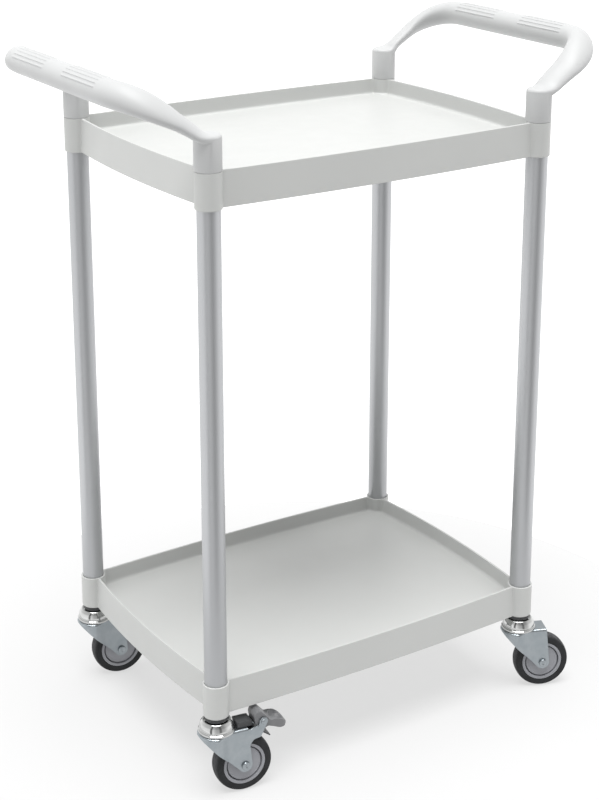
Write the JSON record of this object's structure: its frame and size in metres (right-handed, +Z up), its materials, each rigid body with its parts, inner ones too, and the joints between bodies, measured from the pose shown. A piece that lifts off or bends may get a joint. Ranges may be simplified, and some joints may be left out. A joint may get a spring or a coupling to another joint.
{
  "type": "food service trolley",
  "caption": "Food service trolley with recessed plastic tray shelves on round aluminium posts, loop handles at the ends and swivel casters, some with a toggle brake.",
  "frame": {"origin": "centre of the overall box, on the floor under the wheels", "axes": "+Z up, +X along the long side towards one handle, +Y across the trolley"},
  "size_m": [0.747, 0.437, 0.9652],
  "materials": {
    "tray_plastic": "satin, off-white moulded plastic",
    "handle_plastic": "satin, white moulded plastic",
    "post_aluminium": "satin anodised tube",
    "plug_plastic": "matt",
    "zinc_steel": "bright zinc plate, satin",
    "chrome": "polished",
    "tyre_rubber": "matt",
    "wheel_plastic": "satin",
    "pedal_plastic": "satin",
    "dark_plastic": "satin",
    "spring_steel": "dark spring steel"
  },
  "bodies": {
    "frame": {"tray_upper": "tray_plastic", "tray_lower": "tray_plastic", "handle_right": "handle_plastic", "handle_left": "handle_plastic", "post_left_front": "post_aluminium", "post_left_back": "post_aluminium", "post_right_front": "post_aluminium", "post_right_back": "post_aluminium", "post_plug_left_front": "plug_plastic", "post_plug_left_back": "plug_plastic", "post_plug_right_front": "plug_plastic", "post_plug_right_back": "plug_plastic", "stem_left_front": "zinc_steel", "stem_left_back": "zinc_steel", "stem_right_front": "zinc_steel", "stem_right_back": "zinc_steel", "collar_left_front": "dark_plastic", "collar_left_back": "dark_plastic", "collar_right_front": "dark_plastic", "collar_right_back": "dark_plastic", "race_left_front": "chrome", "race_left_back": "chrome", "race_right_front": "chrome", "race_right_back": "chrome"},
    "fork_left_front": {"fork_left_front": "zinc_steel", "axle_left_front": "zinc_steel", "axle_nut_left_front": "zinc_steel", "brake_pin_left_front": "zinc_steel", "brake_leaf_left_front": "spring_steel", "lock_plate_left_front": "dark_plastic"},
    "wheel_left_front": {"tyre_left_front": "tyre_rubber", "wheel_core_left_front": "wheel_plastic", "axle_bush_left_front": "zinc_steel"},
    "pedal_left_front": {"brake_pedal_left_front": "pedal_plastic"},
    "fork_left_back": {"fork_left_back": "zinc_steel", "axle_left_back": "zinc_steel", "axle_nut_left_back": "zinc_steel"},
    "wheel_left_back": {"tyre_left_back": "tyre_rubber", "wheel_core_left_back": "wheel_plastic", "axle_bush_left_back": "zinc_steel"},
    "fork_right_front": {"fork_right_front": "zinc_steel", "axle_right_front": "zinc_steel", "axle_nut_right_front": "zinc_steel"},
    "wheel_right_front": {"tyre_right_front": "tyre_rubber", "wheel_core_right_front": "wheel_plastic", "axle_bush_right_front": "zinc_steel"},
    "fork_right_back": {"fork_right_back": "zinc_steel", "axle_right_back": "zinc_steel", "axle_nut_right_back": "zinc_steel", "brake_pin_right_back": "zinc_steel", "brake_leaf_right_back": "spring_steel", "lock_plate_right_back": "dark_plastic"},
    "wheel_right_back": {"tyre_right_back": "tyre_rubber", "wheel_core_right_back": "wheel_plastic", "axle_bush_right_back": "zinc_steel"},
    "pedal_right_back": {"brake_pedal_right_back": "pedal_plastic"}
  },
  "joints": [
    {"name": "swivel_left_front", "type": "hinge", "parent": "frame", "child": "fork_left_front", "pos_m": [-0.255, -0.18, 0.103], "axis": [0, 0, 1], "continuous": true},
    {"name": "roll_left_front", "type": "hinge", "parent": "fork_left_front", "child": "wheel_left_front", "pos_m": [-0.22038, -0.18517, 0.04], "axis": [0.1478, 0.989, 0], "continuous": true},
    {"name": "brake_left_front", "type": "hinge", "parent": "fork_left_front", "child": "pedal_left_front", "pos_m": [-0.19447, -0.18905, 0.099], "axis": [0.1478, 0.989, 0], "range_deg": [0, 15]},
    {"name": "swivel_left_back", "type": "hinge", "parent": "frame", "child": "fork_left_back", "pos_m": [-0.255, 0.18, 0.103], "axis": [0, 0, 1], "continuous": true},
    {"name": "roll_left_back", "type": "hinge", "parent": "fork_left_back", "child": "wheel_left_back", "pos_m": [-0.22034, 0.17513, 0.04], "axis": [0.1392, 0.9903, 0], "continuous": true},
    {"name": "swivel_right_front", "type": "hinge", "parent": "frame", "child": "fork_right_front", "pos_m": [0.255, -0.18, 0.103], "axis": [0, 0, 1], "continuous": true},
    {"name": "roll_right_front", "type": "hinge", "parent": "fork_right_front", "child": "wheel_right_front", "pos_m": [0.28722, -0.19368, 0.04], "axis": [0.3907, 0.9205, 0], "continuous": true},
    {"name": "swivel_right_back", "type": "hinge", "parent": "frame", "child": "fork_right_back", "pos_m": [0.255, 0.18, 0.103], "axis": [0, 0, 1], "continuous": true},
    {"name": "roll_right_back", "type": "hinge", "parent": "fork_right_back", "child": "wheel_right_back", "pos_m": [0.28852, 0.19006, 0.04], "axis": [-0.2874, 0.9578, 0], "continuous": true},
    {"name": "brake_right_back", "type": "hinge", "parent": "fork_right_back", "child": "pedal_right_back", "pos_m": [0.31362, 0.19759, 0.099], "axis": [-0.2874, 0.9578, 0], "range_deg": [0, 15]}
  ]
}
